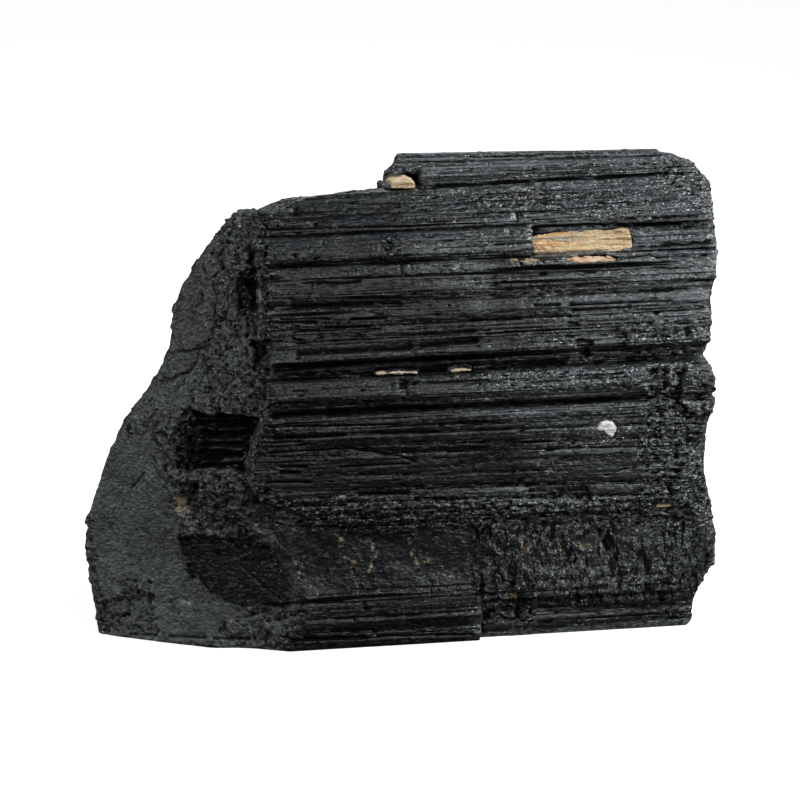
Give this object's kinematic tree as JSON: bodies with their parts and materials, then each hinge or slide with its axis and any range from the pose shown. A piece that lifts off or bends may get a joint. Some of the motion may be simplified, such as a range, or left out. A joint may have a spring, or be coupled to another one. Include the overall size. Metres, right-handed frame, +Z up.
{
  "type": "tourmaline crystal",
  "caption": "Rough black tourmaline chunk of parallel ribbed columns grown together, broken obliquely at one end, with small pale mineral grains; rests on a flat face as a display stone.",
  "frame": {"origin": "middle of the flat lower face under the centre of the bounding box", "axes": "+X along the columns towards the straight broken end, +Z up, the striated display face looks towards -Y"},
  "size_m": [0.1491, 0.0738, 0.1078],
  "materials": {
    "black_tourmaline": "opaque black, glassy on the ribs and granular on the breaks, dusty grey",
    "tan_feldspar": "tan to cream, streaked, satin",
    "pink_feldspar": "pinkish tan, granular",
    "cream_feldspar": "cream, granular",
    "white_quartz": "white, sugary",
    "ochre": "light ochre, earthy"
  },
  "bodies": {
    "root": {"crystal": "black_tourmaline", "feldspar_seam": "tan_feldspar", "feldspar_seam_lower": "pink_feldspar", "feldspar_chip": "tan_feldspar", "feldspar_sliver_left": "cream_feldspar", "feldspar_sliver_right": "cream_feldspar", "white_grain": "white_quartz", "ochre_fleck": "ochre"}
  },
  "joints": []
}
